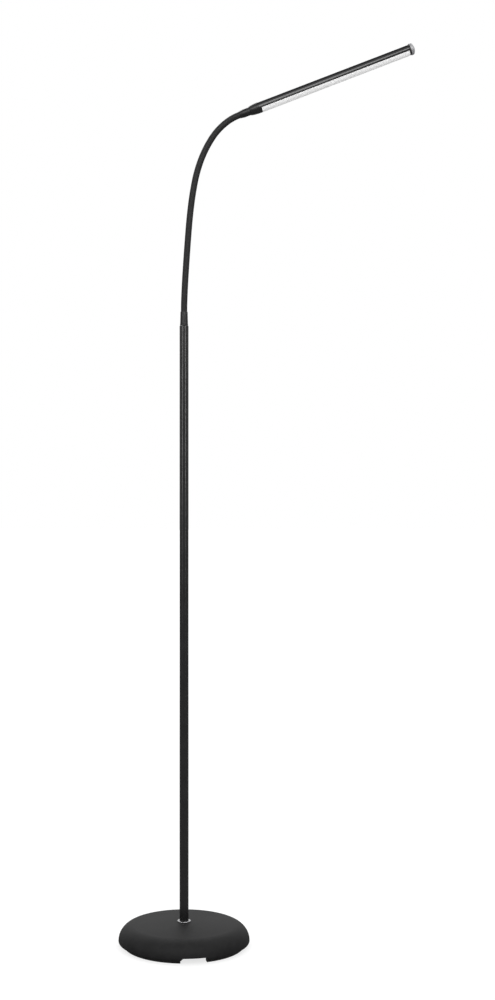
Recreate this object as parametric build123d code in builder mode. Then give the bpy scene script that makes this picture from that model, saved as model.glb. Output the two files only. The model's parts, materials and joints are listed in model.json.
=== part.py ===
"""Gooseneck reading floor lamp: weighted dome base, slim pole, bending neck and a bar-shaped head.

Millimetres, +Z up. The origin is on the floor under the pole's axis. The head reaches towards +X.
"""

import os
from math import acos, cos, degrees, radians, sin

from build123d import *

# ---------------------------------------------------------------- driving dimensions
# Base cover
cover_radius = 94.5
cover_height = 34.0
cover_widest_height = 8.0
cover_shoulder_radius = 23.0
cover_rim_radius = 2.6
cover_wall = 2.2
cover_lip_width = 7.5
# Notch in the rim, and the turn in plan that puts it just right of the front
notch_width = 37.5
notch_height = 9.0
notch_corner_radius = 4.0
notch_turn = 9.6
plate_notch_reach = 64.0
# Foot ring and closing plate
ring_lip_gap = 0.5
ring_width = 10.0
ring_height = 3.5
ring_edge_round = 0.5
plate_thickness = 2.0
plate_side_gap = 0.3
# Cast weight
weight_inset = 16.0
weight_thickness = 18.0
weight_hub_radius = 14.0
weight_edge_chamfer = 2.2
hub_gap = 0.3
nut_well_radius = 16.0
nut_well_height = 15.5
# Plug pocket and socket
pocket_width = 16.0
pocket_height = 14.0
pocket_wall = 1.5
pocket_end = 42.5
pocket_clearance = 1.5
socket_drop = 6.0
socket_radius = 4.0
socket_length = 16.5
socket_flange_radius = 5.0
socket_flange_thickness = 1.5
socket_bore_radius = 2.75
socket_bore_depth = 9.5
socket_pin_radius = 1.05
socket_hole_clearance = 0.1
socket_nut_across_flats = 11.0
socket_nut_thickness = 2.5
# Plate screws
screw_count = 3
screw_inset = 16.0
screw_radius = 2.0
screw_length = 12.0
screw_head_radius = 3.6
screw_head_height = 1.6
screw_drive_radius = 1.4
screw_drive_depth = 0.9
screw_hole_clearance = 0.1
# Nipple, nut and washer
nipple_radius = 4.9
nipple_bore_radius = 3.5
nipple_below_nut = 0.3
nipple_into_pole = 19.5
nut_across_flats = 14.0
nut_thickness = 5.5
washer_radius = 11.0
washer_thickness = 1.5
thread_gap = 0.05
nipple_hole_clearance = 0.3
# Collar and pole
collar_radius = 9.8
collar_height = 1.8
collar_gap = 0.1
collar_round = 0.7
pole_radius = 6.5
pole_wall = 1.0
pole_lower_length = 431.0
pole_upper_length = 428.4
pole_chamfer = 0.6
insert_gap = 0.05
foot_insert_length = 22.0
coupler_length = 60.0
coupler_bore_radius = 3.5
top_plug_length = 20.0
# Lead
lead_radius = 1.2
lead_bend_radius = 6.0
# Neck
neck_radius = 4.6
sleeve_wall = 0.8
core_gap = 0.05
core_bore_radius = 2.0
ferrule_foot_radius = 5.9
ferrule_radius = 5.6
ferrule_mouth_radius = 5.2
ferrule_length = 20.0
ferrule_flare = 4.5
ferrule_gap = 0.05
link_length = 34.25
ball_radius = 6.0
ball_gap = 0.3
# Turn of the neck at rest over its first half link, its eight whole links and its last half link
rest_turns = (2.0, 1.5, 0.5, 0.5, 2.5, 4.0, 10.0, 12.0, 21.5, 14.5)
# Ferrule at the head
head_ferrule_radius = 5.85
head_ferrule_length = 9.5
head_ferrule_taper = 6.5
head_ferrule_mouth_radius = 4.95
head_ferrule_wall = 2.0
spigot_radius = 4.2
spigot_length = 8.0
neck_tail = 17.0
# Head bar
bar_radius = 8.0
bar_wall = 1.3
nose_length = 14.0
nose_front_radius = 6.7
nose_front_round = 1.0
nose_chin_length = 3.0
nose_tongue_length = 12.0
lead_rise_start = 3.5
lead_rise_run = 8.5
lead_rise_bend_radius = 40.0
housing_length = 230.7
split_drop = 2.6
shelf_thickness = 1.2
bar_gap = 0.1
diffuser_wall = 1.1
diffuser_rail_out = 6.0
diffuser_rail_in = 5.2
diffuser_rail_root = 4.8
board_width = 10.0
board_thickness = 1.0
board_end_margin = 4.0
chip_count = 24
chip_width = 2.8
chip_length = 3.5
chip_height = 0.75
# Collar and switch at the tip
end_collar_radius = 7.7
end_collar_shown = 2.8
end_collar_hidden = 2.3
end_tongue_length = 5.0
switch_board_thickness = 1.0
switch_size = 6.0
switch_height = 3.6
switch_bore_radius = 1.65
switch_bore_depth = 2.4
spring_wire_radius = 0.25
spring_radius = 5.5
spring_turns = 4
spring_well_wall = 0.6
spring_well_depth = 3.4
# Button
button_radius = 8.5
button_wall = 0.6
button_skirt = 3.3
button_dome = 3.3
button_roof = 2.9
button_stem_radius = 1.5
button_stem_length = 2.4

# ---------------------------------------------------------------- worked-out places
# Base, from the rim inwards
cover_lip_radius = cover_radius - cover_lip_width
ring_outer_radius = cover_lip_radius - ring_lip_gap
ring_inner_radius = ring_outer_radius - ring_width
weight_radius = cover_radius - weight_inset
screw_circle_radius = weight_radius - screw_inset

# Base, from the floor up
plate_bottom = ring_height
plate_top = plate_bottom + plate_thickness
weight_bottom = plate_top
weight_top = weight_bottom + weight_thickness
nut_well_top = weight_bottom + nut_well_height
washer_bottom = nut_well_top - washer_thickness
nut_bottom = washer_bottom - nut_thickness
nipple_bottom = nut_bottom - nipple_below_nut
nipple_top = cover_height + nipple_into_pole
plate_radius = cover_lip_radius - plate_side_gap
pocket_top = plate_bottom + pocket_height
socket_height = pocket_top - socket_drop
socket_back = pocket_end - socket_length

# Pole
pole_bore_radius = pole_radius - pole_wall
pole_joint_height = cover_height + pole_lower_length
pole_top = pole_joint_height + pole_upper_length
insert_radius = pole_bore_radius - insert_gap
top_plug_bottom = pole_top - top_plug_length
lead_corner_top = socket_height + lead_bend_radius + lead_radius

# Neck
sleeve_bore_radius = neck_radius - sleeve_wall
core_radius = sleeve_bore_radius - core_gap
pivot_count = len(rest_turns) - 1
stretch_lengths = [link_length / 2] + [link_length] * (pivot_count - 1) + [link_length / 2]

# Base parts share one plane, turned so that its -Y runs through the notch
base_plane = Plane.XY.rotated((0, 0, notch_turn))
# Upright plane that faces out through the notch, with local X across it and local Y up
notch_face = Plane(origin=(0, 0, 0), x_dir=base_plane.x_dir, z_dir=-base_plane.y_dir)
# Upright plane through the notch, with local X away from the notch and local Y up
notch_section = Plane(origin=(0, 0, 0), x_dir=base_plane.y_dir, z_dir=base_plane.x_dir)
# Mouth of the socket, with local Z out towards the notch
socket_mouth = Plane(base_plane.from_local_coords((0, -pocket_end, socket_height)), z_dir=-base_plane.y_dir)


def neck_planes():
    """Planes square to the neck's centreline, local Z along it, at its first bend, each pivot and its end.

    Each stretch between two planes is an arc in the XZ plane.
    """
    heading = 0.0
    x, z = 0.0, pole_top + ferrule_length
    planes = []
    for length, turn in zip(stretch_lengths + [0.0], rest_turns + (0.0,)):
        tangent = (sin(radians(heading)), 0, cos(radians(heading)))
        planes.append(Plane(origin=(x, 0, z), x_dir=(0, 1, 0), z_dir=tangent))
        if length > 0:
            half = radians(turn) / 2
            chord = length * sin(half) / half
            x += chord * sin(radians(heading) + half)
            z += chord * cos(radians(heading) + half)
            heading += turn
    return planes


neck = neck_planes()
head_plane = neck[-1].offset(neck_tail)

os.makedirs("parts", exist_ok=True)


def write(builder, name):
    """Labels a finished piece and writes its file."""
    builder.part.label = name
    export_step(builder.part, f"parts/{name}.step")


# ---------------------------------------------------------------- base cover
# Crown arc through the top centre, tangent inside to the shoulder arc that ends at the widest point
shoulder_centre_radius = cover_radius - cover_shoulder_radius
crown_rise = cover_height - cover_widest_height
crown_radius = (shoulder_centre_radius**2 + crown_rise**2 - cover_shoulder_radius**2) / (
    2 * (crown_rise - cover_shoulder_radius)
)


def cover_outline(inset):
    """Half section of the cover, drawn in by an inset: crown, shoulder, rim and back to the axis."""
    crown = crown_radius - inset
    shoulder = cover_shoulder_radius - inset
    rim = cover_rim_radius - inset
    rim_centre = (cover_radius - cover_rim_radius, cover_widest_height)
    lean = degrees(acos((crown_radius - crown_rise) / (crown_radius - cover_shoulder_radius)))
    top = (0, cover_height - inset)
    CenterArc((0, cover_height - crown_radius), crown, 90 - lean, lean)
    CenterArc((shoulder_centre_radius, cover_widest_height), shoulder, 0, 90 - lean)
    CenterArc(rim_centre, rim, -90, 90)
    foot = (rim_centre[0], cover_widest_height - rim)
    Polyline(foot, (cover_lip_radius, foot[1]), (0, foot[1]), top)


with BuildPart() as base_cover:
    with BuildSketch(Plane.XZ):
        with BuildLine():
            cover_outline(0)
        make_face()
    revolve(axis=Axis.Z)
    with BuildSketch(Plane.XZ):
        with BuildLine():
            cover_outline(cover_wall)
        make_face()
    revolve(axis=Axis.Z, mode=Mode.SUBTRACT)
    with BuildSketch(base_plane):
        Circle(cover_lip_radius)
    extrude(amount=cover_widest_height, mode=Mode.SUBTRACT)
    with BuildSketch(base_plane):
        Circle(nipple_radius + nipple_hole_clearance)
    extrude(amount=cover_height, mode=Mode.SUBTRACT)
    with BuildSketch(notch_face):
        RectangleRounded(notch_width, 2 * notch_height, notch_corner_radius)
    extrude(amount=cover_radius, mode=Mode.SUBTRACT)
write(base_cover, "base_cover")

# ---------------------------------------------------------------- foot ring
with BuildPart() as foot_ring:
    with BuildSketch(base_plane):
        Circle(ring_outer_radius)
        Circle(ring_inner_radius, mode=Mode.SUBTRACT)
        Rectangle(notch_width, cover_radius, align=(Align.CENTER, Align.MAX), mode=Mode.SUBTRACT)
    extrude(amount=ring_height)
    fillet(foot_ring.edges().group_by(Axis.Z)[0].filter_by(GeomType.CIRCLE), ring_edge_round)
write(foot_ring, "foot_ring")

# ---------------------------------------------------------------- bottom plate with its plug pocket
pocket_outer_width = pocket_width + 2 * pocket_wall
with BuildPart() as bottom_plate:
    with BuildSketch(base_plane.offset(plate_bottom)):
        Circle(plate_radius)
    extrude(amount=plate_thickness)
    with BuildSketch(base_plane.offset(plate_bottom)):
        with Locations((0, -pocket_end + pocket_wall)):
            Rectangle(pocket_outer_width, plate_radius, align=(Align.CENTER, Align.MAX))
        Circle(weight_radius, mode=Mode.INTERSECT)
    extrude(amount=pocket_height + pocket_wall)
    with BuildSketch(base_plane.offset(plate_bottom)):
        with Locations((0, -pocket_end)):
            Rectangle(pocket_width, plate_radius, align=(Align.CENTER, Align.MAX))
    extrude(amount=pocket_height, mode=Mode.SUBTRACT)
    with BuildSketch(base_plane.offset(plate_bottom)):
        with Locations((0, -plate_notch_reach)):
            Rectangle(notch_width, plate_radius, align=(Align.CENTER, Align.MAX))
    extrude(amount=plate_thickness, mode=Mode.SUBTRACT)
    with BuildSketch(socket_mouth):
        Circle(socket_radius + socket_hole_clearance)
    extrude(amount=-pocket_wall, mode=Mode.SUBTRACT)
    with BuildSketch(base_plane.offset(plate_bottom)):
        with PolarLocations(screw_circle_radius, screw_count, start_angle=90):
            Circle(screw_radius + screw_hole_clearance)
    extrude(amount=plate_thickness, mode=Mode.SUBTRACT)
write(bottom_plate, "bottom_plate")

# ---------------------------------------------------------------- cast weight
with BuildPart() as base_weight:
    with BuildSketch(base_plane.offset(weight_bottom)):
        Circle(weight_radius)
    extrude(amount=weight_thickness)
    chamfer(base_weight.edges().group_by(Axis.Z)[-1], weight_edge_chamfer)
    with BuildSketch(base_plane.offset(weight_top)):
        Circle(weight_hub_radius)
    extrude(amount=cover_height - cover_wall - hub_gap - weight_top)
    with BuildSketch(base_plane.offset(weight_bottom)):
        Circle(nipple_radius + nipple_hole_clearance)
    extrude(amount=cover_height, mode=Mode.SUBTRACT)
    with BuildSketch(base_plane.offset(weight_bottom)):
        Circle(nut_well_radius)
    extrude(amount=nut_well_height, mode=Mode.SUBTRACT)
    with BuildSketch(base_plane.offset(weight_bottom)):
        Rectangle(pocket_outer_width + 2 * pocket_clearance, cover_radius, align=(Align.CENTER, Align.MAX))
    extrude(amount=pocket_top + pocket_wall + pocket_clearance - weight_bottom, mode=Mode.SUBTRACT)
    with BuildSketch(base_plane.offset(weight_bottom)):
        with PolarLocations(screw_circle_radius, screw_count, start_angle=90):
            Circle(screw_radius + screw_hole_clearance)
    extrude(amount=screw_length, mode=Mode.SUBTRACT)
write(base_weight, "base_weight")

# ---------------------------------------------------------------- plate screws
with BuildPart() as plate_screws:
    with BuildSketch(base_plane.offset(plate_bottom)):
        with PolarLocations(screw_circle_radius, screw_count, start_angle=90):
            Circle(screw_head_radius)
    extrude(amount=-screw_head_height)
    chamfer(plate_screws.edges().group_by(Axis.Z)[0], screw_head_height / 4)
    with BuildSketch(base_plane.offset(plate_bottom)):
        with PolarLocations(screw_circle_radius, screw_count, start_angle=90):
            Circle(screw_radius)
    extrude(amount=screw_length)
    with BuildSketch(base_plane.offset(plate_bottom - screw_head_height)):
        with PolarLocations(screw_circle_radius, screw_count, start_angle=90):
            RegularPolygon(screw_drive_radius, 6)
    extrude(amount=screw_drive_depth, mode=Mode.SUBTRACT)
write(plate_screws, "plate_screws")

# ---------------------------------------------------------------- nipple, washer and nut
with BuildPart() as pole_nipple:
    with BuildSketch(Plane.XY.offset(nipple_bottom)):
        Circle(nipple_radius)
        Circle(nipple_bore_radius, mode=Mode.SUBTRACT)
    extrude(amount=nipple_top - nipple_bottom)
write(pole_nipple, "pole_nipple")

with BuildPart() as nipple_washer:
    with BuildSketch(Plane.XY.offset(washer_bottom)):
        Circle(washer_radius)
        Circle(nipple_radius + nipple_hole_clearance, mode=Mode.SUBTRACT)
    extrude(amount=washer_thickness)
write(nipple_washer, "nipple_washer")

with BuildPart() as nipple_nut:
    with BuildSketch(Plane.XY.offset(nut_bottom)):
        RegularPolygon(nut_across_flats / 2, 6, major_radius=False)
        Circle(nipple_radius + thread_gap, mode=Mode.SUBTRACT)
    extrude(amount=nut_thickness)
write(nipple_nut, "nipple_nut")

# ---------------------------------------------------------------- inlet socket and its nut
with BuildPart() as inlet_socket:
    with BuildSketch(socket_mouth):
        Circle(socket_flange_radius)
    extrude(amount=socket_flange_thickness)
    with BuildSketch(socket_mouth):
        Circle(socket_radius)
    extrude(amount=-socket_length)
    with BuildSketch(socket_mouth.offset(socket_flange_thickness)):
        Circle(socket_bore_radius)
        Circle(socket_pin_radius, mode=Mode.SUBTRACT)
    extrude(amount=-socket_bore_depth, mode=Mode.SUBTRACT)
write(inlet_socket, "inlet_socket")

with BuildPart() as socket_nut:
    with BuildSketch(socket_mouth.offset(-pocket_wall)):
        RegularPolygon(socket_nut_across_flats / 2, 6, major_radius=False)
        Circle(socket_radius + thread_gap, mode=Mode.SUBTRACT)
    extrude(amount=-socket_nut_thickness)
write(socket_nut, "socket_nut")

# ---------------------------------------------------------------- pole
with BuildPart() as pole_collar:
    with BuildSketch(Plane.XY.offset(cover_height)):
        Circle(collar_radius)
        Circle(pole_radius + collar_gap, mode=Mode.SUBTRACT)
    extrude(amount=collar_height)
    fillet(pole_collar.edges().group_by(Axis.Z)[-1], collar_round)
write(pole_collar, "pole_collar")

with BuildPart() as pole_lower:
    with BuildSketch(Plane.XY.offset(cover_height)):
        Circle(pole_radius)
        Circle(pole_bore_radius, mode=Mode.SUBTRACT)
    extrude(amount=pole_lower_length)
write(pole_lower, "pole_lower")

with BuildPart() as pole_upper:
    with BuildSketch(Plane.XY.offset(pole_joint_height)):
        Circle(pole_radius)
        Circle(pole_bore_radius, mode=Mode.SUBTRACT)
    extrude(amount=pole_upper_length)
    top_rim = pole_upper.edges().group_by(Axis.Z)[-1].sort_by(SortBy.RADIUS)[-1]
    chamfer(top_rim, pole_chamfer)
write(pole_upper, "pole_upper")

with BuildPart() as pole_foot_insert:
    with BuildSketch(Plane.XY.offset(cover_height)):
        Circle(insert_radius)
        Circle(nipple_radius + thread_gap, mode=Mode.SUBTRACT)
    extrude(amount=foot_insert_length)
write(pole_foot_insert, "pole_foot_insert")

with BuildPart() as pole_coupler:
    with BuildSketch(Plane.XY.offset(pole_joint_height - coupler_length / 2)):
        Circle(insert_radius)
        Circle(coupler_bore_radius, mode=Mode.SUBTRACT)
    extrude(amount=coupler_length)
write(pole_coupler, "pole_coupler")

with BuildPart() as pole_top_plug:
    with BuildSketch(Plane.XY.offset(top_plug_bottom)):
        Circle(insert_radius)
        Circle(core_radius + core_gap, mode=Mode.SUBTRACT)
    extrude(amount=top_plug_length)
write(pole_top_plug, "pole_top_plug")

# ---------------------------------------------------------------- neck
with BuildPart() as neck_foot_ferrule:
    with BuildSketch(Plane.XZ):
        with BuildLine():
            Polyline(
                (neck_radius + ferrule_gap, pole_top),
                (ferrule_foot_radius, pole_top),
                (ferrule_radius, pole_top + ferrule_flare),
                (ferrule_mouth_radius, pole_top + ferrule_length),
                (neck_radius + ferrule_gap, pole_top + ferrule_length),
                close=True,
            )
        make_face()
    revolve(axis=Axis.Z)
write(neck_foot_ferrule, "neck_foot_ferrule")


def neck_piece(index, outer, inner, run_in, run_out):
    """One length of the neck's sleeve, core or lead: an arc of the rest shape between two pivots.

    Its lower end is hollowed by a ball round the pivot below, and its upper end is rounded by a slightly
    smaller ball round the pivot above, so that two lengths turn on each other without touching. The first
    length runs in straight below its arc, and the last runs out straight beyond its arc.
    """
    start, end = neck[index], neck[index + 1]
    turn = rest_turns[index]
    bend_radius = stretch_lengths[index] / radians(turn)
    bend_axis = Axis(start.origin - start.y_dir * bend_radius, (0, 1, 0))
    with BuildPart() as piece:
        with BuildSketch(start):
            Circle(outer)
            if inner > 0:
                Circle(inner, mode=Mode.SUBTRACT)
        revolve(axis=bend_axis, revolution_arc=turn)
        if index == 0:
            extrude(piece.faces().sort_by(Axis.Z)[0], amount=run_in)
        else:
            with Locations(start.origin):
                Sphere(ball_radius + ball_gap, mode=Mode.SUBTRACT)
        if index == pivot_count:
            with BuildSketch(end):
                Circle(outer)
                if inner > 0:
                    Circle(inner, mode=Mode.SUBTRACT)
            extrude(amount=run_out)
        else:
            axial_section = Plane(end.origin, x_dir=end.x_dir, z_dir=end.x_dir.cross(end.z_dir))
            outer_angle = degrees(acos(outer / ball_radius))
            inner_angle = degrees(acos(inner / ball_radius))
            with BuildSketch(axial_section):
                with BuildLine():
                    crown_arc = CenterArc((0, 0), ball_radius, outer_angle, inner_angle - outer_angle)
                    Polyline(crown_arc @ 1, (inner, 0), (outer, 0), crown_arc @ 0)
                make_face()
            revolve(axis=Axis(end.origin, end.z_dir))
    return piece


core_run_in = ferrule_length + top_plug_length
tail_in_ferrule = neck_tail - head_ferrule_wall
for index in range(pivot_count + 1):
    sleeve = neck_piece(index, neck_radius, sleeve_bore_radius, ferrule_length, tail_in_ferrule)
    write(sleeve, f"neck_sleeve_{index}")
    core = neck_piece(index, core_radius, core_bore_radius, core_run_in, tail_in_ferrule)
    write(core, f"neck_core_{index}")

# The lead has one length from the socket into the neck's first length, one per link, and one into the head
stand_lead_run = pole_top + ferrule_length - lead_corner_top
with BuildPart() as stand_lead:
    add(neck_piece(0, lead_radius, 0, stand_lead_run, 0).part)
    with BuildLine(notch_section) as base_route:
        FilletPolyline(
            (-socket_back, socket_height),
            (0, socket_height),
            (0, lead_corner_top),
            radius=lead_bend_radius,
        )
    with BuildSketch(Plane(base_route.line @ 0, z_dir=base_route.line % 0)):
        Circle(lead_radius)
    sweep(path=base_route.line)
write(stand_lead, "stand_lead")

for index in range(1, pivot_count):
    lead = neck_piece(index, lead_radius, 0, 0, 0)
    write(lead, f"neck_lead_{index}")

# ---------------------------------------------------------------- ferrule at the head
# Sections along the head's axis: local X is the distance past the nose's front, local Y the radius
head_section = Plane(head_plane.origin, x_dir=head_plane.z_dir, z_dir=-head_plane.x_dir)
head_axis = Axis(head_plane.origin, head_plane.z_dir)
with BuildPart() as neck_head_ferrule:
    with BuildSketch(head_section):
        with BuildLine():
            Polyline(
                (-head_ferrule_length - head_ferrule_taper, neck_radius + ferrule_gap),
                (-head_ferrule_length - head_ferrule_taper, head_ferrule_mouth_radius),
                (-head_ferrule_length, head_ferrule_radius),
                (0, head_ferrule_radius),
                (0, spigot_radius),
                (spigot_length, spigot_radius),
                (spigot_length, core_bore_radius),
                (-head_ferrule_wall, core_bore_radius),
                (-head_ferrule_wall, neck_radius + ferrule_gap),
                close=True,
            )
        make_face()
    revolve(axis=head_axis)
write(neck_head_ferrule, "neck_head_ferrule")

# ---------------------------------------------------------------- head bar
housing_start = nose_length
housing_end = housing_start + housing_length
diffuser_start = nose_length + nose_chin_length
lead_rise = lead_radius + bar_gap
chamber_radius = bar_radius - bar_wall - bar_gap


def chamber_fill(plane):
    """Half-round face that fills the chamber above the shelf, with a little room all round."""
    with BuildSketch(plane) as half_round:
        Circle(chamber_radius)
        with Locations((0, bar_gap)):
            Rectangle(2 * bar_radius, bar_radius, align=(Align.CENTER, Align.MIN), mode=Mode.INTERSECT)
    return half_round.sketch


nose_flank_radius = (nose_length - nose_front_round) ** 2 / (2 * (bar_radius - nose_front_radius))
with BuildPart() as head_nose:
    with BuildSketch(head_section):
        with BuildLine():
            front_edge = (0, nose_front_radius - nose_front_round)
            flank_start = (nose_front_round, nose_front_radius)
            Line((0, 0), front_edge)
            RadiusArc(front_edge, flank_start, nose_front_round)
            RadiusArc(flank_start, (nose_length, bar_radius), nose_flank_radius)
            Polyline((nose_length, bar_radius), (nose_length, 0), (0, 0))
        make_face()
    revolve(axis=head_axis)
    with BuildSketch(head_plane.offset(nose_length)):
        Circle(bar_radius)
        with Locations((0, -split_drop - bar_gap)):
            Rectangle(2 * bar_radius, bar_radius, align=(Align.CENTER, Align.MAX), mode=Mode.INTERSECT)
    extrude(amount=nose_chin_length - bar_gap)
    extrude(chamber_fill(head_plane.offset(nose_length)), amount=nose_tongue_length)
    with BuildSketch(head_plane):
        Circle(spigot_radius + thread_gap)
    extrude(amount=spigot_length + bar_gap, mode=Mode.SUBTRACT)
    with BuildSketch(head_plane):
        with Locations((0, lead_rise)):
            Circle(lead_rise + lead_radius + bar_gap)
    extrude(amount=nose_length + nose_tongue_length, mode=Mode.SUBTRACT)
write(head_nose, "head_nose")

with BuildPart() as head_housing:
    with BuildSketch(head_plane.offset(housing_start)):
        Circle(bar_radius)
        Circle(bar_radius - bar_wall, mode=Mode.SUBTRACT)
        with Locations((0, -split_drop)):
            Rectangle(2 * bar_radius, 2 * bar_radius, align=(Align.CENTER, Align.MIN), mode=Mode.INTERSECT)
        Rectangle(2 * (bar_radius - bar_wall) + bar_gap, shelf_thickness, align=(Align.CENTER, Align.MAX))
    extrude(amount=housing_length)
write(head_housing, "head_housing")

board_top = -shelf_thickness
rail_top = -shelf_thickness - bar_gap
with BuildPart() as diffuser:
    with BuildSketch(head_plane.offset(diffuser_start)):
        Circle(bar_radius)
        Circle(bar_radius - diffuser_wall, mode=Mode.SUBTRACT)
        with Locations((0, -split_drop - bar_gap)):
            Rectangle(2 * bar_radius, 2 * bar_radius, align=(Align.CENTER, Align.MAX), mode=Mode.INTERSECT)
        for side in (-1, 1):
            with Locations((side * (diffuser_rail_in + diffuser_rail_out) / 2, rail_top)):
                Rectangle(
                    diffuser_rail_out - diffuser_rail_in,
                    diffuser_rail_root + rail_top,
                    align=(Align.CENTER, Align.MAX),
                )
    extrude(amount=housing_end - diffuser_start)
write(diffuser, "diffuser")

board_start = diffuser_start + board_end_margin
board_length = housing_end - board_end_margin - board_start
with BuildPart() as led_board:
    with BuildSketch(head_plane.offset(board_start)):
        with Locations((0, board_top)):
            Rectangle(board_width, board_thickness, align=(Align.CENTER, Align.MAX))
    extrude(amount=board_length)
write(led_board, "led_board")

# Chips stand on the board's underside, one row, evenly spread
chip_pitch = board_length / chip_count
board_underside = Plane(
    head_plane.from_local_coords((0, board_top - board_thickness, board_start + board_length / 2)),
    x_dir=head_plane.z_dir,
    z_dir=-head_plane.y_dir,
)
with BuildPart() as led_chips:
    with BuildSketch(board_underside):
        with GridLocations(chip_pitch, chip_width, chip_count, 1):
            Rectangle(chip_length, chip_width)
    extrude(amount=chip_height)
write(led_chips, "led_chips")

lead_end = housing_end - end_tongue_length - switch_board_thickness - bar_gap
with BuildPart() as head_lead:
    add(neck_piece(pivot_count, lead_radius, 0, 0, neck_tail).part)
    with BuildLine(head_section) as head_route:
        FilletPolyline(
            (0, 0),
            (lead_rise_start, 0),
            (lead_rise_start + lead_rise_run, lead_rise),
            (lead_end, lead_rise),
            radius=lead_rise_bend_radius,
        )
    with BuildSketch(head_plane):
        Circle(lead_radius)
    sweep(path=head_route.line)
write(head_lead, "head_lead")

# ---------------------------------------------------------------- collar and switch at the tip
collar_front = housing_end + end_collar_shown + end_collar_hidden
switch_back = collar_front - switch_height
spring_well_inner = spring_radius - spring_well_wall
spring_well_outer = spring_radius + spring_well_wall
with BuildPart() as end_collar:
    with BuildSketch(head_plane.offset(housing_end)):
        Circle(end_collar_radius)
    extrude(amount=collar_front - housing_end)
    with BuildSketch(head_plane.offset(collar_front)):
        Circle(spring_well_outer)
        Circle(spring_well_inner, mode=Mode.SUBTRACT)
    extrude(amount=-spring_well_depth, mode=Mode.SUBTRACT)
    with BuildSketch(head_plane.offset(collar_front)):
        Rectangle(switch_size + 2 * bar_gap, switch_size + 2 * bar_gap)
    extrude(amount=-switch_height, mode=Mode.SUBTRACT)
    extrude(chamber_fill(head_plane.offset(housing_end - end_tongue_length)), amount=end_tongue_length)
write(end_collar, "end_collar")

switch_board_back = housing_end - end_tongue_length - switch_board_thickness
with BuildPart() as switch_board:
    extrude(chamber_fill(head_plane.offset(switch_board_back)), amount=switch_board_thickness)
write(switch_board, "switch_board")

with BuildPart() as switch_body:
    with BuildSketch(head_plane.offset(switch_back)):
        Rectangle(switch_size, switch_size)
    extrude(amount=switch_height)
    with BuildSketch(head_plane.offset(collar_front)):
        Circle(switch_bore_radius)
    extrude(amount=-switch_bore_depth, mode=Mode.SUBTRACT)
write(switch_body, "switch_body")

button_start = housing_end + end_collar_shown
button_tip = button_start + button_skirt + button_dome
button_ceiling = button_tip - button_roof
dome_radius = (button_radius**2 + button_dome**2) / (2 * button_dome)
with BuildPart() as switch_button:
    with BuildSketch(head_section):
        with BuildLine():
            Polyline(
                (button_tip, 0),
                (button_ceiling - button_stem_length, 0),
                (button_ceiling - button_stem_length, button_stem_radius),
                (button_ceiling, button_stem_radius),
                (button_ceiling, button_radius - button_wall),
                (button_start, button_radius - button_wall),
                (button_start, button_radius),
                (button_start + button_skirt, button_radius),
            )
            RadiusArc((button_start + button_skirt, button_radius), (button_tip, 0), dome_radius)
        make_face()
    revolve(axis=head_axis)
write(switch_button, "switch_button")

spring_bottom = collar_front - spring_well_depth + 2 * spring_wire_radius
spring_height = button_ceiling - spring_bottom - 2 * spring_wire_radius
with BuildPart() as button_spring:
    with BuildLine() as spring_route:
        Helix(
            spring_height / spring_turns,
            spring_height,
            spring_radius,
            center=head_plane.from_local_coords((0, 0, spring_bottom)),
            direction=head_plane.z_dir,
        )
    with BuildSketch(Plane(spring_route.line @ 0, z_dir=spring_route.line % 0)):
        Circle(spring_wire_radius)
    sweep(path=spring_route.line, is_frenet=True)
write(button_spring, "button_spring")
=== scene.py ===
"""Gooseneck reading floor lamp: finished surfaces, finishes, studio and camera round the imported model.

Metres, +Z up, origin on the floor under the pole. Every new piece is a surface worked out as a whole array:
a section carried round an axis, or along the neck's centreline.
"""

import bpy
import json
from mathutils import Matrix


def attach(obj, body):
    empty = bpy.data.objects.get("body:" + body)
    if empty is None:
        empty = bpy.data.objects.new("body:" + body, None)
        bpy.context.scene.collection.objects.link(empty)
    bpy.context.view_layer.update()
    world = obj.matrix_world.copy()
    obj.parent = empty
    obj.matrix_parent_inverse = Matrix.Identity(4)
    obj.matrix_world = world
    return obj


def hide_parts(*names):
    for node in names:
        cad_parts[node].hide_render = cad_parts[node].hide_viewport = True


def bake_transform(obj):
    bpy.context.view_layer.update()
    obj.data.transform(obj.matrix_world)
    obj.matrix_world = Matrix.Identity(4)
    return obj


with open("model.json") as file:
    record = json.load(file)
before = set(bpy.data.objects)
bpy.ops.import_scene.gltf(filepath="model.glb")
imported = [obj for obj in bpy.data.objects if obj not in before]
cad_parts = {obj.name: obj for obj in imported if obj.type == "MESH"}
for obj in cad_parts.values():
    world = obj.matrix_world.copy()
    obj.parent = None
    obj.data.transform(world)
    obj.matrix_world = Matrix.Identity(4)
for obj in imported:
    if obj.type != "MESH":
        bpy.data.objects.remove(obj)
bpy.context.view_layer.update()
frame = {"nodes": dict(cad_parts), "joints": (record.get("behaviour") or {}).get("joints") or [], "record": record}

import json
import math

import bmesh
import bpy
import numpy as np
from mathutils import Vector

MM = 0.001
# Pattern scale that draws grain out 250 times as long along X, the bar's length once turned
DRAWN_ALONG_X = (0.004, 1, 1)
nodes = frame["nodes"]
joints = {joint["name"]: joint for joint in frame["joints"]}


# ---------------------------------------------------------------- shader sockets as numbers
class Num:
    """A float socket of one material, with the arithmetic signs adding its Math nodes."""

    def __init__(self, paint, socket):
        self.paint = paint
        self.socket = socket

    def _math(self, operation, first, second):
        return self.paint.node("ShaderNodeMath", {"operation": operation}, {0: first, 1: second})

    def __add__(self, other):
        return self._math("ADD", self, other)

    def __sub__(self, other):
        return self._math("SUBTRACT", self, other)

    def __mul__(self, other):
        return self._math("MULTIPLY", self, other)

    __radd__ = __add__


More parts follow.
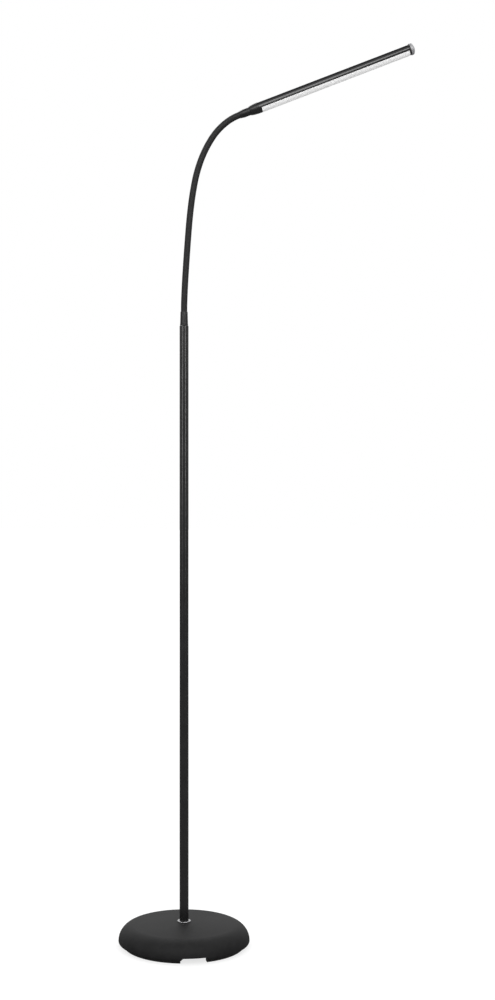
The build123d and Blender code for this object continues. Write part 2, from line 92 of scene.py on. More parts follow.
class Paint:
    """One material's node tree with its main shader; constants go straight on the shader's sockets."""

    def __init__(self, name, color, roughness, **constants):
        self.material = bpy.data.materials.new(name)
        self.material.use_nodes = True
        self.tree = self.material.node_tree
        self.shader = self.tree.nodes["Principled BSDF"]
        self.shader.inputs["Base Color"].default_value = (*color, 1)
        self.shader.inputs["Roughness"].default_value = roughness
        for socket, value in constants.items():
            self.shader.inputs[socket.replace("_", " ")].default_value = value
        self.material.diffuse_color = (*color, 1)
        self.material.roughness = roughness

    def node(self, kind, settings=None, inputs=None, output=0):
        """Adds any node: its settings first, then the values or links of its sockets; returns one output."""
        made = self.tree.nodes.new(kind)
        for key, value in (settings or {}).items():
            setattr(made, key, value)
        for key, value in (inputs or {}).items():
            if isinstance(value, Num):
                self.tree.links.new(value.socket, made.inputs[key])
            else:
                made.inputs[key].default_value = value
        return Num(self, made.outputs[output])

    def feed(self, socket, value):
        """Links a worked-out number or colour to a socket of the main shader."""
        self.tree.links.new(value.socket, self.shader.inputs[socket])

    def place(self):
        """Position on the piece, in metres, in the lamp's own frame."""
        return self.node("ShaderNodeTexCoord", output="Object")

    def stretched(self, scale, turn):
        """Object position, turned and then scaled, so that grain can run along a chosen direction."""
        turned = self.node("ShaderNodeMapping", {}, {"Vector": self.place(), "Rotation": turn})
        return self.node("ShaderNodeMapping", {}, {"Vector": turned, "Scale": scale})

    def noise(self, scale, detail=3.0, where=None, roughness=0.5):
        """Soft random pattern with features of about 1/scale metres."""
        inputs = {"Vector": where or self.place(), "Scale": scale, "Detail": detail, "Roughness": roughness}
        return self.node("ShaderNodeTexNoise", {}, inputs)

    def span(self, value, low, high, to_low=0.0, to_high=1.0):
        """Value carried from one range to another and held at its ends, with smooth ends."""
        return self.node(
            "ShaderNodeMapRange",
            {"interpolation_type": "SMOOTHSTEP"},
            {"Value": value, "From Min": low, "From Max": high, "To Min": to_low, "To Max": to_high},
        )

    def mix(self, share, first, second):
        """Colour between two colours by a share."""
        colors = [(*c, 1) if isinstance(c, tuple) else c for c in (first, second)]
        return self.node(
            "ShaderNodeMix", {"data_type": "RGBA"}, {0: share, 6: colors[0], 7: colors[1]}, output=2
        )

    def bump(self, height, depth, under=None):
        """Normal bent by a height from 0 to 1 over a depth in metres; a second bump can lie under it."""
        inputs = {"Height": height, "Distance": depth, "Strength": 1.0}
        if under:
            inputs["Normal"] = under
        return self.node("ShaderNodeBump", {}, inputs)


def grained(name, color, roughness, grain, depth, lighter=1.25, **constants):
    """Moulded or coated surface: fine pebbled grain of a given size, slow change of sheen and faint blotches."""
    paint = Paint(name, color, roughness, **constants)
    fine = paint.noise(1 / grain, 2.0)
    slow = paint.noise(14.0, 2.0)
    handled = paint.noise(55.0, 4.0, roughness=0.62)
    paint.feed("Normal", paint.bump(fine, depth))
    paint.feed("Roughness", roughness + (slow - 0.5) * 0.1 + (handled - 0.5) * 0.05)
    paler = tuple(min(1.0, c * lighter + 0.002) for c in color)
    paint.feed("Base Color", paint.mix(paint.span(handled, 0.35, 0.75), color, paler))
    return paint


def metal(name, color, roughness, fineness=1200.0, depth=4e-6, spread=0.08):
    """Bare or plated metal: even grain with features of about 1/fineness metres, and cloudy sheen."""
    paint = Paint(name, color, roughness, Metallic=1.0)
    fine = paint.noise(fineness, 2.0)
    cloud = paint.noise(30.0, 3.0)
    paint.feed("Normal", paint.bump(fine, depth))
    paint.feed("Roughness", roughness + (fine - 0.5) * spread + (cloud - 0.5) * spread)
    duller = tuple(c * 0.88 for c in color)
    paint.feed("Base Color", paint.mix(paint.span(cloud, 0.3, 0.7), duller, color))
    return paint


# ---------------------------------------------------------------- meshes from arrays
def mesh_object(name, points, quads, loop_values=None, sharp=40.0):
    """Mesh from an array of points and one of four-cornered faces; doubles merged and faces turned outwards."""
    mesh = bpy.data.meshes.new(name)
    mesh.from_pydata(points.tolist(), [], quads.tolist())
    if loop_values is not None:
        mesh.uv_layers.new(name="along").data.foreach_set("uv", loop_values.astype(np.float32).ravel())
    work = bmesh.new()
    work.from_mesh(mesh)
    bmesh.ops.remove_doubles(work, verts=work.verts, dist=1e-7)
    bmesh.ops.recalc_face_normals(work, faces=work.faces)
    work.to_mesh(mesh)
    work.free()
    mesh.polygons.foreach_set("use_smooth", np.ones(len(mesh.polygons), bool))
    mesh.set_sharp_from_angle(angle=math.radians(sharp))
    piece = bpy.data.objects.new(name, mesh)
    bpy.context.scene.collection.objects.link(piece)
    return piece


def grid_quads(rows, columns, round_rows=False, round_columns=False):
    """Corner numbers of the faces of a grid of points; a round direction joins its last line to its first."""
    row = np.arange(rows if round_rows else rows - 1)
    column = np.arange(columns if round_columns else columns - 1)
    r, c = np.meshgrid(row, column, indexing="ij")
    below, beside = (r + 1) % rows, (c + 1) % columns
    corners = [r * columns + c, r * columns + beside, below * columns + beside, below * columns + c]
    return np.stack(corners, axis=-1).reshape(-1, 4)


def corner_values(rows, columns, across, down):
    """Values at the corners of a grid's faces: down has one more entry than there are rows of faces, and the last
    face round runs on to 1 instead of back to 0."""
    r, c = np.meshgrid(np.arange(rows), np.arange(columns), indexing="ij")
    low, high = down[r], down[r + 1]
    left, right = across[c], across[c] + 1 / columns
    return np.stack([left, low, right, low, right, high, left, high], axis=-1).reshape(-1, 2)


def finish_piece(piece, body, paint, slot, *replaced):
    """Gives a new piece its finish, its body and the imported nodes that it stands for."""
    piece.data.materials.append(paint.material)
    if body:
        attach(piece, body)
    if replaced:
        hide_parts(*replaced)
    return piece


def arc(centre, radius, start, end, count):
    """Points of an arc in a section plane, its angles in degrees, both ends included."""
    angle = np.radians(np.linspace(start, end, count))
    return np.stack([centre[0] + radius * np.cos(angle), centre[1] + radius * np.sin(angle)], axis=1)


def rounded(corners, radii):
    """Closed section through corners, each cut back by its radius and joined by an arc tangent to both sides."""
    arc_points = 6
    corners = np.array(corners, float)
    line = []
    for k, radius in enumerate(radii):
        here = corners[k]
        before, after = corners[k - 1], corners[(k + 1) % len(corners)]
        back, on = before - here, after - here
        back, on = back / np.linalg.norm(back), on / np.linalg.norm(on)
        half = math.acos(np.clip(back @ on, -1, 1)) / 2
        reach = radius / math.tan(half)
        centre = here + (back + on) / np.linalg.norm(back + on) * radius / math.sin(half)
        first, last = here + back * reach - centre, here + on * reach - centre
        sweep = math.acos(np.clip(first @ last / radius**2, -1, 1))
        share = np.linspace(0, 1, arc_points)[:, None]
        between = np.sin((1 - share) * sweep) * first + np.sin(share * sweep) * last
        line.append(centre + between / math.sin(sweep))
    return np.concatenate(line)


def turned(name, section, origin, axis, across, count, closed=True, sharp=40.0):
    """Solid of revolution: a section of (distance along the axis, radius) carried round the axis in full."""
    origin, axis, across = (np.array(v, float) for v in (origin, axis, across))
    third = np.cross(axis, across)
    angle = np.arange(count) * 2 * math.pi / count
    ring = np.cos(angle)[:, None] * across + np.sin(angle)[:, None] * third
    section = np.array(section, float)
    points = origin + section[:, None, :1] * axis + section[:, None, 1:] * ring[None]
    rows = len(section)
    values = corner_values(rows if closed else rows - 1, count, angle / (2 * math.pi), np.arange(rows + 1) / rows)
    quads = grid_quads(rows, count, closed, True)
    return mesh_object(name, points.reshape(-1, 3), quads, values, sharp)


# ---------------------------------------------------------------- finishes
finishes = {
    "cover_black": grained("cover_black", (0.008, 0.008, 0.0083), 0.6, 0.0005, 3e-5, Specular_IOR_Level=0.2),
    "plate_black": grained("plate_black", (0.028, 0.028, 0.028), 0.6, 0.0006, 4e-5),
    "foot_rubber": grained("foot_rubber", (0.012, 0.012, 0.012), 0.8, 0.0008, 5e-5),
    "cast_weight": grained("cast_weight", (0.11, 0.105, 0.1), 0.75, 0.0012, 2e-4, Metallic=0.7),
    "zinc_steel": metal("zinc_steel", (0.62, 0.62, 0.6), 0.34),
    "chrome": metal("chrome", (0.45, 0.45, 0.46), 0.07, fineness=400.0, depth=1e-6, spread=0.03),
    "pole_black": grained("pole_black", (0.004, 0.004, 0.0042), 0.22, 0.0007, 3e-6, Specular_IOR_Level=0.8),
    "socket_black": grained("socket_black", (0.02, 0.02, 0.02), 0.5, 0.0005, 2e-5),
    "socket_brass": metal("socket_brass", (0.72, 0.66, 0.5), 0.3),
    "lead_black": grained("lead_black", (0.02, 0.02, 0.02), 0.5, 0.0006, 2e-5),
    "ferrule_black": grained("ferrule_black", (0.009, 0.009, 0.0092), 0.36, 0.0005, 1e-5, Specular_IOR_Level=0.35),
    "core_steel": metal("core_steel", (0.46, 0.45, 0.44), 0.42),
    "nose_black": grained("nose_black", (0.01, 0.01, 0.0103), 0.34, 0.0005, 6e-6, Specular_IOR_Level=0.4),
    "board_white": grained("board_white", (0.84, 0.85, 0.83), 0.4, 0.001, 1e-5, lighter=1.02),
    "chip_yellow": grained("chip_yellow", (0.86, 0.74, 0.34), 0.35, 0.0006, 1e-5),
    "switch_dark": grained("switch_dark", (0.05, 0.05, 0.05), 0.5, 0.0005, 1e-5),
    "spring_steel": metal("spring_steel", (0.6, 0.6, 0.59), 0.25),
}


def ribbed_neck(name, color, roughness, pitch, depth):
    """Soft sleeve drawn over a coil: a faint ridge winding round it once per pitch in mm, and fine matt grain."""
    paint = Paint(name, color, roughness, Specular_IOR_Level=0.26)
    around = paint.node("ShaderNodeUVMap", {"uv_map": "along"})
    split = paint.node("ShaderNodeSeparateXYZ", {}, {0: around})
    reach = paint.node("ShaderNodeSeparateXYZ", {}, {0: around}, output=1)
    phase = reach * (1 / (pitch * MM)) + split
    ridge = paint.node("ShaderNodeMath", {"operation": "SINE"}, {0: phase * (2 * math.pi)}) * 0.5 + 0.5
    fine = paint.noise(2200.0, 2.0)
    dull = paint.noise(40.0, 4.0, roughness=0.6)
    paint.feed("Normal", paint.bump(fine, 1.5e-5, under=paint.bump(ridge, depth)))
    paint.feed("Roughness", roughness + (dull - 0.5) * 0.12)
    paint.feed("Base Color", paint.mix(paint.span(dull, 0.35, 0.7), color, tuple(c * 1.3 for c in color)))
    return paint


def extruded_gloss(name, color, roughness, axis_turn):
    """Anodised extrusion under clear lacquer: very faint die lines along the bar and a slow change of gloss."""
    paint = Paint(name, color, roughness, Coat_Weight=0.55, Coat_Roughness=0.05, Specular_IOR_Level=0.4)
    lines = paint.noise(900.0, 3.0, paint.stretched(DRAWN_ALONG_X, axis_turn))
    slow = paint.noise(18.0, 3.0)
    paint.feed("Roughness", roughness + (lines - 0.5) * 0.06 + (slow - 0.5) * 0.05)
    paint.feed("Base Color", paint.mix(paint.span(lines, 0.4, 0.7), color, tuple(c * 1.35 for c in color)))
    return paint


def milky(name, color, roughness, axis_turn):
    """Opal diffuser: matt milky skin, faint extrusion lines and a slight change of density along it."""
    paint = Paint(name, color, roughness, Specular_IOR_Level=0.4)
    lines = paint.noise(700.0, 2.0, paint.stretched(DRAWN_ALONG_X, axis_turn))
    dense = paint.noise(26.0, 3.0)
    paint.feed("Roughness", roughness + (lines - 0.5) * 0.06)
    paint.feed("Base Color", paint.mix(paint.span(dense, 0.3, 0.7), color, tuple(c * 0.975 for c in color)))
    return paint


def lathe_turned(name, color, roughness):
    """Aluminium faced on a lathe: fine rings at even steps along the turned section, over cloudy satin."""
    paint = Paint(name, color, roughness, Metallic=0.55)
    around = paint.node("ShaderNodeUVMap", {"uv_map": "along"})
    step = paint.node("ShaderNodeSeparateXYZ", {}, {0: around}, output=1)
    where = paint.node("ShaderNodeCombineXYZ", {}, {0: step * 420.0})
    rings = paint.noise(1.0, 2.0, where)
    cloud = paint.noise(220.0, 3.0)
    paint.feed("Normal", paint.bump(rings, 5e-6))
    paint.feed("Roughness", roughness + (rings - 0.5) * 0.12 + (cloud - 0.5) * 0.05)
    paint.feed("Base Color", paint.mix(paint.span(rings, 0.3, 0.7), tuple(c * 0.9 for c in color), color))
    return paint


# ---------------------------------------------------------------- the neck's centreline
# Millimetres, and reach is the distance along the centreline from the foot ferrule's mouth. Each length of neck turns
# by so many degrees at rest.
rest_turns = (2.0, 1.5, 0.5, 0.5, 2.5, 4.0, 10.0, 12.0, 21.5, 14.5)
hinge_count = 9
link_length = 34.25
neck_start = 913.4
neck_tail = 17.0
sleeve_outer, sleeve_inner, sleeve_foot, sleeve_step = 4.6, 3.85, -19.5, 1.0
coil_outer, coil_inner, coil_foot, coil_step = 3.75, 2.0, -39.5, 0.575
coil_pitch, coil_groove = 2.3, 0.35
sleeve_top_gap = 2.2
ferrule_depth, mouth_gap, blend_margin = 16.0, 0.5, 0.8
lead_radius = 1.2
link_edges = link_length * np.concatenate([[0], np.arange(hinge_count) + 0.5, [hinge_count]])
head_turn = math.radians(sum(rest_turns))

_fine_reach = np.linspace(-80, 420, 20001)
_fine_heading = np.radians(np.interp(_fine_reach, link_edges, np.concatenate([[0], np.cumsum(rest_turns)])))


def _summed(slope):
    """Running integral of a slope over the fine steps, zero where the neck starts."""
    step = _fine_reach[1] - _fine_reach[0]
    total = np.concatenate([[0], np.cumsum((slope[1:] + slope[:-1]) / 2 * step)])
    return total - np.interp(0, _fine_reach, total)


_fine_x, _fine_z = _summed(np.sin(_fine_heading)), _summed(np.cos(_fine_heading)) + neck_start


def neck_line(reach):
    """Centreline points and headings at distances along the neck. The heading from vertical changes evenly over
    each stretch, and the place is the running sum of its sine and cosine."""
    heading = np.interp(reach, _fine_reach, _fine_heading)
    x, z = np.interp(reach, _fine_reach, _fine_x), np.interp(reach, _fine_reach, _fine_z)
    return np.stack([x, np.zeros_like(x), z], axis=-1) * MM, heading


def along_neck(name, section, count, twist=0.0):
    """A tube round the centreline: a closed section of (reach, radius) in millimetres, carried round it.

    Each ring stands square to the centreline; its radius may gain a ripple that winds round with the reach.
    """
    section = np.array(section, float)
    centre, heading = neck_line(section[:, 0])
    angle = np.arange(count) * 2 * math.pi / count
    radius = section[:, 1, None] * np.ones(count)
    if twist:
        outer = section[:, 1] > section[:, 1].max() - 0.01
        wave = np.cos(2 * math.pi * section[:, 0, None] / twist - angle)
        radius = radius - np.where(outer[:, None], coil_groove * (1 - np.abs(wave)), 0)
    inward = np.stack([np.cos(heading), np.zeros_like(heading), -np.sin(heading)], axis=-1)
    points = (
        centre[:, None]
        + (radius * np.cos(angle) * MM)[..., None] * inward[:, None]
        + (radius * np.sin(angle) * MM)[..., None] * np.array([0, 1, 0])
    )
    rows = len(section)
    reach = np.append(section[:, 0], section[0, 0]) * MM
    values = corner_values(rows, count, angle / (2 * math.pi), reach)
    return mesh_object(name, points.reshape(-1, 3), grid_quads(rows, count, True, True), values, 50.0)


def tube_section(low, high, inner, outer, step):
    """Closed section of a tube between two reaches: up along its outside and back along its bore."""
    up = np.linspace(low, high, max(2, int(round((high - low) / step)) + 1))
    return np.concatenate([np.stack([up, up * 0 + outer], 1), np.stack([up[::-1], up * 0 + inner], 1)])


link_bodies = ["stand"] + [f"neck_link_{k}" for k in range(1, hinge_count)] + ["head"]
neck_end = link_edges[-1]
neck_tip = neck_end + neck_tail
first_bend_start, last_bend_end = 1.0, neck_tip - ferrule_depth - mouth_gap
# Each bend reaches from the middle of one length of neck to the middle of the next
bends = []
for k in range(1, hinge_count + 1):
    low = (link_edges[k - 1] + link_edges[k]) / 2 if k > 1 else first_bend_start
    high = (link_edges[k] + link_edges[k + 1]) / 2 if k < hinge_count else last_bend_end
    bends.append((k, low, high))


def bend_with_neck(piece, k, low, high):
    """Works out the centreline points at both ends of a bend, less a margin, which nothing then uses, and bakes the
    piece's place into its mesh. The last bend is treated like the others, and nothing here makes a piece turn with
    the neck."""
    start, end = (tuple(point) for point in neck_line(np.array([low + blend_margin, high - blend_margin]))[0])
    if k < hinge_count:
        link_bodies[k - 1]
        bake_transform(piece)
    else:
        link_bodies[k - 1]
        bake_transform(piece)


finishes["neck_black"] = ribbed_neck("neck_black", (0.0125, 0.0125, 0.0125), 0.56, coil_pitch, 2.2e-5)
for k, low, high in bends:
    is_first = k == 1
    top = high if k < hinge_count else neck_tip - sleeve_top_gap
    skin_bottom, coil_bottom = (sleeve_foot, coil_foot) if is_first else (low, low)
    skin_section = tube_section(skin_bottom, top, sleeve_inner, sleeve_outer, sleeve_step)
    coil_section = tube_section(coil_bottom, top, coil_inner, coil_outer, coil_step)
    for kind, section, count, twist, slot, node in (
        ("neck_skin", skin_section, 40, 0.0, "neck_black", "neck_sleeve"),
        ("neck_coil", coil_section, 24, coil_pitch, "core_steel", "neck_core"),
    ):
        stands_for = [f"{node}_{k}"] + ([f"{node}_0"] if is_first else [])
        piece = along_neck(f"{kind}_{k}", section, count, twist)
        finish_piece(piece, None, finishes[slot], slot, *stands_for)
        bend_with_neck(piece, k, low, high)

# ---------------------------------------------------------------- the lead, from the socket to the head
notch_turn = math.radians(9.6)
notch_out = np.array([math.sin(notch_turn), -math.cos(notch_turn), 0.0])
notch_side = np.array([math.cos(notch_turn), math.sin(notch_turn), 0.0])
head_axis = -np.array(joints["button_press"]["axis"], float)
head_up = np.array([-head_axis[2], 0.0, head_axis[0]])
head_start = neck_line(np.array([neck_tip]))[0][0]


def carried(name, centre, across, third, radius, count=20):
    """A round bar along a line: rings of a given radius stand on two directions square to the line, and close to a
    point at both ends."""
    angle = np.arange(count) * 2 * math.pi / count
    ring = np.cos(angle)[:, None] * across[:, None] + np.sin(angle)[:, None] * third
    size = np.full(len(centre), radius)
    centre = np.concatenate([centre[:1], centre, centre[-1:]])
    ring = np.concatenate([ring[:1], ring, ring[-1:]])
    size = np.concatenate([[0], size, [0]])
    points = centre[:, None] + ring * size[:, None, None]
    rows = len(centre)
    values = corner_values(rows - 1, count, angle / (2 * math.pi), np.arange(rows) * 0.001)
    return mesh_object(name, points.reshape(-1, 3), grid_quads(rows, count, False, True), values, 50.0)


def lead_in_neck(name, low, high):
    """Length of lead inside the neck between two reaches."""
    centre, heading = neck_line(np.linspace(low, high, int(high - low) + 2))
    across = np.stack([np.cos(heading), np.zeros_like(heading), -np.sin(heading)], axis=-1)
    return carried(name, centre, across, np.array([0, 1, 0]), lead_radius * MM)


for k, low, high in bends:
    piece = lead_in_neck(f"neck_wire_{k}", low, high)
    stands_for = [f"neck_lead_{k}"] if k < hinge_count else []
    finish_piece(piece, None, finishes["lead_black"], "lead_black", *stands_for)
    bend_with_neck(piece, k, low, high)

# Out of the socket, round a quarter bend under the pole and up to the neck
socket_reach, socket_height, lead_bend = 26.0, 11.5, 6.0
bend = np.radians(np.linspace(-90, -180, 13))
quarter = np.stack([lead_bend + lead_bend * np.cos(bend), socket_height + lead_bend + lead_bend * np.sin(bend)], 1)
run = np.concatenate([[[socket_reach, socket_height]], quarter, [[0, neck_start + first_bend_start]]])
ahead = np.gradient(run, axis=0)
ahead = ahead / np.linalg.norm(ahead, axis=1)[:, None]
ahead[0], ahead[-1] = (-1, 0), (0, 1)
upright = np.array([0, 0, 1])
stand_line = (run[:, :1] * notch_out + run[:, 1:] * upright) * MM
stand_across = ahead[:, 1:] * notch_out - ahead[:, :1] * upright
stand_wire = carried("stand_wire", stand_line, stand_across, notch_side, lead_radius * MM)
finish_piece(stand_wire, "stand", finishes["lead_black"], "lead_black", "stand_lead")

# From the neck's last bend through the ferrule, up a shallow S onto the shelf and along to the switch
shelf_lift, lift_start, lift_run, fine_steps_end, switch_reach = 1.3, 3.0, 9.5, 16, 238.6
in_ferrule = np.linspace(last_bend_end - neck_end - neck_tail, 0, 6)[:-1]
along = np.concatenate([in_ferrule, np.linspace(0, fine_steps_end, fine_steps_end + 1), [switch_reach]])
lift_share = np.clip((along - lift_start) / lift_run, 0, 1)
lift = shelf_lift * lift_share * lift_share * (3 - 2 * lift_share)
head_line = head_start + (along[:, None] * head_axis + lift[:, None] * head_up) * MM
head_across = np.tile(head_up, (len(along), 1))
head_wire = carried("head_wire", head_line, head_across, np.array([0, 1, 0]), lead_radius * MM)
finish_piece(head_wire, "head", finishes["lead_black"], "lead_black", "head_lead")

# ---------------------------------------------------------------- base cover
cover_radius, cover_height, widest, shoulder_radius, rim = 94.5, 34.0, 8.0, 23.0, 2.6
lip_width, pole_hole_radius, cover_wall = 7.5, 5.2, 2.2
half_notch, notch_top, corner = 18.75, 9.0, 4.0
notch_columns, other_columns, edge_rows, lip_rows = 60, 219, 14, 4
slide_reach, slide_from_radius = 0.5, 80
shoulder_centre, crown_rise = cover_radius - shoulder_radius, cover_height - widest
crown_radius = (shoulder_centre**2 + crown_rise**2 - shoulder_radius**2) / (2 * (crown_rise - shoulder_radius))
lean = math.degrees(math.acos((crown_radius - crown_rise) / (crown_radius - shoulder_radius)))
rim_centre, lip_radius = cover_radius - rim, cover_radius - lip_width
hole = math.degrees(math.asin(pole_hole_radius / crown_radius))
cut_turn = math.degrees(math.asin((notch_top - widest) / shoulder_radius))
crown = arc((0, cover_height - crown_radius), crown_radius, 90 - hole, 90 - lean, 30)
shoulder = arc((shoulder_centre, widest), shoulder_radius, 90 - lean, cut_turn, 44)
fixed = np.concatenate([crown, shoulder])
open_edge = math.degrees(math.asin(half_notch / cover_radius))
over_notch = np.linspace(-open_edge, open_edge, notch_columns + 1)
round_rest = np.linspace(open_edge, 360 - open_edge, other_columns + 2)[1:-1]
column_turn = np.radians(np.concatenate([over_notch, round_rest]))
signed = np.where(column_turn > math.pi, column_turn - 2 * math.pi, column_turn)
inside = np.abs(np.degrees(signed)) < open_edge + 1e-6
# How far down each column goes: to the notch's top over the notch, round a quarter circle at its two corners, and
# to the rim's foot beside it
from_corner = np.clip(np.abs(cover_radius * np.sin(signed)) - (half_notch - corner), 0, corner)
lowest = np.where(inside, notch_top - corner + np.sqrt(corner**2 - from_corner**2), widest - rim)
lowest = np.maximum(lowest, widest - rim)
down_share = np.sin(np.linspace(0, math.pi / 2, edge_rows + 1))[None, 1:]
edge_height = notch_top - (notch_top - lowest[:, None]) * down_share
above = shoulder_centre + np.sqrt(np.maximum(shoulder_radius**2 - (edge_height - widest) ** 2, 0))
below = rim_centre + np.sqrt(np.maximum(rim**2 - (edge_height - widest) ** 2, 0))
lip = np.linspace(rim_centre, lip_radius, lip_rows + 1)[1:]
everywhere = np.ones((len(lowest), 1))
edge_radius = np.where(edge_height > widest, above, below)
lip_height = (widest - rim) * np.ones((len(lowest), lip_rows))
cover_radii = np.concatenate([fixed[:, 0] * everywhere, edge_radius, lip * everywhere], axis=1)
cover_heights = np.concatenate([fixed[:, 1] * everywhere, edge_height, lip_height], axis=1)
# Columns near the notch slide so that its two sides stay parallel as the radius falls
edge = np.radians(open_edge)
fading = np.sign(signed) * np.clip(1 - (np.abs(signed) - edge) / slide_reach, 0, 1)
slide = np.where(np.abs(signed) < edge, signed / edge, fading)
side_turn = np.arcsin(half_notch / np.maximum(cover_radii, slide_from_radius)) - edge
shift = np.where(cover_radii > slide_from_radius, side_turn, 0)
turn = signed[:, None] + slide[:, None] * np.where(cover_heights < notch_top + 0.01, shift, 0)
cover_points = (
    (cover_radii * np.cos(turn))[..., None] * notch_out
    + (cover_radii * np.sin(turn))[..., None] * notch_side
    + cover_heights[..., None] * upright
) * MM
columns, rows = cover_points.shape[:2]
quads = grid_quads(rows, columns, False, True)
open_rows = len(fixed) + edge_rows - 1
quad_row, quad_column = np.divmod(np.arange(len(quads)), columns)
quads = quads[~((quad_row >= open_rows) & (quad_column < notch_columns))]
cover = mesh_object("cover_shell", cover_points.transpose(1, 0, 2).reshape(-1, 3), quads, None, 35.0)
wall = cover.modifiers.new("wall", "SOLIDIFY")
wall.thickness = cover_wall * MM
wall.offset = -1.0
wall.use_even_offset = True
finish_piece(cover, "stand", finishes["cover_black"], "cover_black", "base_cover")

# ---------------------------------------------------------------- collar, ferrules and button
up, east = np.array([0, 0, 1.0]), np.array([1.0, 0, 0])
collar_section = rounded([(33.95, 6.6), (33.95, 9.8), (35.8, 9.8), (35.8, 6.6)], (0.05, 0.15, 0.75, 0.15))
collar = turned("foot_trim", collar_section * MM, (0, 0, 0), up, east, 128)
finish_piece(collar, "stand", finishes["chrome"], "chrome", "pole_collar")

ferrule_section = rounded(
    [(893.4, 4.65), (893.4, 5.9), (897.9, 5.6), (913.4, 5.2), (913.4, 4.65)], (0.02, 0.1, 6.0, 0.2, 0.05)
)
ferrule = turned("neck_foot_sleeve", ferrule_section * MM, (0, 0, 0), up, east, 96)
finish_piece(ferrule, "stand", finishes["ferrule_black"], "ferrule_black", "neck_foot_ferrule")

head_ferrule_section = rounded(
    [(-16, 4.65), (-16, 4.95), (-9.5, 5.85), (0, 5.85), (0, 4.2), (8, 4.2), (8, 2.0), (-2, 2.0), (-2, 4.65)],
    (0.05, 0.1, 2.5, 0.2, 0.05, 0.3, 0.1, 0.1, 0.05),
)
head_ferrule = turned("neck_head_sleeve", head_ferrule_section * MM, head_start, head_axis, head_up, 96)
finish_piece(head_ferrule, "head", finishes["ferrule_black"], "ferrule_black", "neck_head_ferrule")

button_start, button_tip = 247.5, 254.1
button_radius, button_bore, button_roof, dome_height, skirt_edge = 8.5, 7.9, 2.9, 3.3, 0.25
stem_radius, stem_length, skirt_length, dome_edge_turn = 1.5, 2.4, 2.9, 2.2
ceiling = button_tip - button_roof
stem_end = ceiling - stem_length
dome_radius = (button_radius**2 + dome_height**2) / (2 * dome_height)
half_dome = math.degrees(math.asin(button_radius / dome_radius))
inner_line = [(stem_end, 0), (stem_end, stem_radius), (ceiling, stem_radius), (ceiling, button_bore)]
button_section = np.concatenate(
    [
        inner_line + [(button_start, button_bore)],
        arc((button_start + skirt_edge, button_radius - skirt_edge), skirt_edge, 180, 90, 5),
        [(button_start + skirt_length, button_radius)],
        arc((button_tip - dome_radius, 0), dome_radius, half_dome - dome_edge_turn, 0, 24),
    ]
)
finishes["button_silver"] = lathe_turned("button_silver", (0.4, 0.4, 0.41), 0.5)
button = turned(
    "tip_cap", button_section * MM, head_start, head_axis, head_up, 128, closed=False, sharp=32.0
)
finish_piece(button, "button", finishes["button_silver"], "button_silver", "switch_button")

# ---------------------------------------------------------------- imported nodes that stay: better finishes
head_turn_back = (0.0, math.pi / 2 - head_turn, 0.0)
finishes["housing_black"] = extruded_gloss("housing_black", (0.009, 0.009, 0.0095), 0.16, head_turn_back)
finishes["diffuser_white"] = milky("diffuser_white", (0.8, 0.8, 0.8), 0.42, head_turn_back)
slot_of = {part["node"]: part["material_slot"] for part in frame["record"]["subparts"]}
for name, node in nodes.items():
    paint = finishes[slot_of[name]]
    if not node.material_slots:
        node.data.materials.append(paint.material)
    for slot in node.material_slots:
        slot.material = paint.material

# ---------------------------------------------------------------- floor, light and camera
def studio_material():
    """White floor: the camera sees it glow white, more so away from the lamp, whose soft shadow stays. Reflections
    see a little of that glow over a dim floor, and to all other light it is a plain pale floor."""
    paint = Paint("studio_white", (0.75, 0.75, 0.75), 0.9)
    tree = paint.tree

    def shader(kind, color, **constants):
        made = tree.nodes.new(kind)
        made.inputs["Color"].default_value = (*color, 1)
        for socket, value in constants.items():
            made.inputs[socket].default_value = value
        return made.outputs[0]

    def blend(share, first, second):
        made = tree.nodes.new("ShaderNodeMixShader")
        for socket, value in zip(made.inputs, (share, first, second)):
            if isinstance(value, float):
                socket.default_value = value
            else:
                tree.links.new(value, socket)
        return made.outputs[0]

    glow = shader("ShaderNodeEmission", (1, 1, 1), Strength=1.22)
    distance = paint.node("ShaderNodeVectorMath", {"operation": "LENGTH"}, {0: paint.place()}, output=1)
    open_share = paint.span(distance, 0.4, 4.0, 0.62, 1.0)
    lit = blend(open_share.socket, shader("ShaderNodeBsdfDiffuse", (0.8, 0.8, 0.8)), glow)
    seen = paint.node("ShaderNodeLightPath")
    mirrored = paint.node("ShaderNodeLightPath", output="Is Glossy Ray")
    through = paint.node("ShaderNodeLightPath", output="Is Transmission Ray")
    share = seen + (mirrored + through) * 0.12
    paint.feed("Base Color", paint.mix(mirrored, (0.75, 0.75, 0.75), (0.05, 0.05, 0.05)))
    tree.links.new(blend(share.socket, paint.shader.outputs[0], lit), tree.nodes["Material Output"].inputs[0])
    return paint.material


floor_half_width = 30.0
floor_points = np.array([[-1, -1, 0], [1, -1, 0], [1, 1, 0], [-1, 1, 0]], float) * floor_half_width
floor = mesh_object("studio_floor", floor_points, np.array([[0, 1, 2, 3]]))
floor.data.materials.append(studio_material())

world = bpy.data.worlds.new("studio")
bpy.context.scene.world = world
world.use_nodes = True
sky = world.node_tree
room = sky.nodes["Background"]
white = sky.nodes.new("ShaderNodeBackground")
white.inputs["Color"].default_value = (1, 1, 1, 1)
white.inputs["Strength"].default_value = 1.0
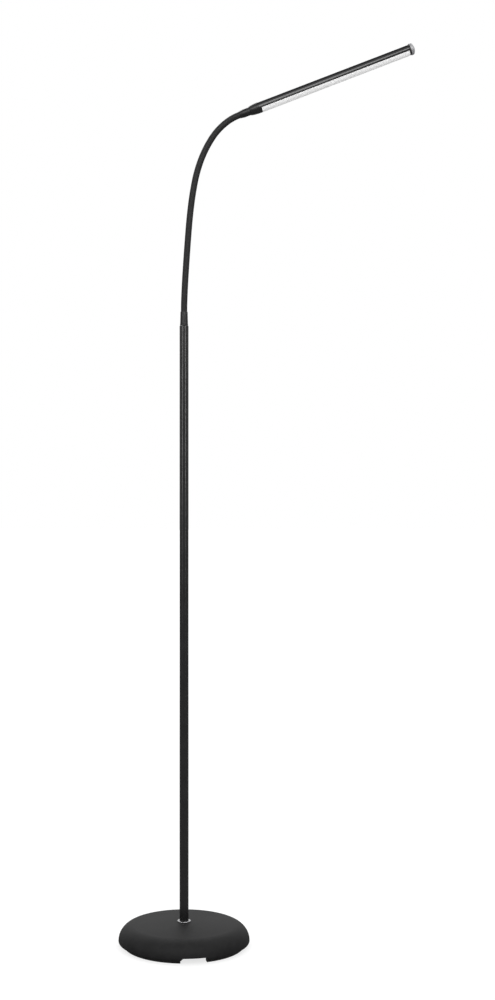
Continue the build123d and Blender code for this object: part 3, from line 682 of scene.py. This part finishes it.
# Brightness of the room by the sine of the direction's height, dim at the horizon and straight overhead, and a
# glow low down behind the lamp
room_levels = ((0.0, 0.25), (0.5, 0.75), (0.84, 0.75), (0.93, 0.1))
back_glow = {"From Min": 0.3, "From Max": 1.0, "To Min": 0.0, "To Max": 0.35}
view = sky.nodes.new("ShaderNodeTexCoord")
direction = sky.nodes.new("ShaderNodeSeparateXYZ")
by_height = sky.nodes.new("ShaderNodeValToRGB")
by_height.color_ramp.interpolation = "EASE"
while len(by_height.color_ramp.elements) < len(room_levels):
    by_height.color_ramp.elements.new(0.5)
for stop, (sine, bright) in zip(by_height.color_ramp.elements, room_levels):
    stop.position = sine
    stop.color = (bright, bright, bright, 1)
behind = sky.nodes.new("ShaderNodeMapRange")
behind.interpolation_type = "SMOOTHSTEP"
for socket, value in back_glow.items():
    behind.inputs[socket].default_value = value
both = sky.nodes.new("ShaderNodeMath")
sky.links.new(view.outputs["Generated"], direction.inputs[0])
sky.links.new(direction.outputs["Z"], by_height.inputs[0])
sky.links.new(direction.outputs["Y"], behind.inputs["Value"])
sky.links.new(by_height.outputs[0], both.inputs[0])
sky.links.new(behind.outputs[0], both.inputs[1])
room.inputs["Color"].default_value = (1, 1, 1, 1)
sky.links.new(both.outputs[0], room.inputs["Strength"])
rays = sky.nodes.new("ShaderNodeLightPath")
either = sky.nodes.new("ShaderNodeMixShader")
sky.links.new(rays.outputs["Is Camera Ray"], either.inputs[0])
sky.links.new(room.outputs[0], either.inputs[1])
sky.links.new(white.outputs[0], either.inputs[2])
sky.links.new(either.outputs[0], sky.nodes["World Output"].inputs["Surface"])


def soft_box(name, place, target, width, height, power):
    """Rectangular lamp that faces a point."""
    light = bpy.data.lights.new(name, "AREA")
    light.shape = "RECTANGLE"
    light.size, light.size_y, light.energy = width, height, power
    lamp = bpy.data.objects.new(name, light)
    bpy.context.scene.collection.objects.link(lamp)
    lamp.location = place
    lamp.rotation_euler = (Vector(target) - Vector(place)).to_track_quat("-Z", "Y").to_euler()


soft_box("left_strip", (-1.9, -1.85, 1.55), (0, 0, 1.0), 0.4, 1.9, 12)
soft_box("right_strip", (1.75, -2.1, 1.55), (0, 0, 1.0), 0.4, 1.9, 12)
soft_box("front_box", (0.2, -1.8, 2.13), (0.1, 0, 1.1), 1.8, 0.42, 11)
soft_box("low_front_box", (-0.2, -2.4, 1.68), (0, 0, 1.1), 1.7, 0.6, 11)
soft_box("back_box", (-0.3, 1.3, 2.75), (0, 0, 0.6), 2.4, 1.3, 21)
soft_box("top_box", (1.3, 0.1, 2.4), (0, 0, 0), 0.9, 1.4, 6)

lens = bpy.data.cameras.new("photo_camera")
lens.sensor_fit = "AUTO"
lens.sensor_width = 36.0
lens.lens = 53.4
lens.shift_x = 0.0513
camera = bpy.data.objects.new("photo_camera", lens)
bpy.context.scene.collection.objects.link(camera)
camera.location = (0.0175, -2.14, 0.642)
camera.rotation_euler = (math.pi / 2, 0, 0)
bpy.context.scene.camera = camera
bpy.context.scene.view_settings.view_transform = "Standard"

bpy.context.view_layer.update()
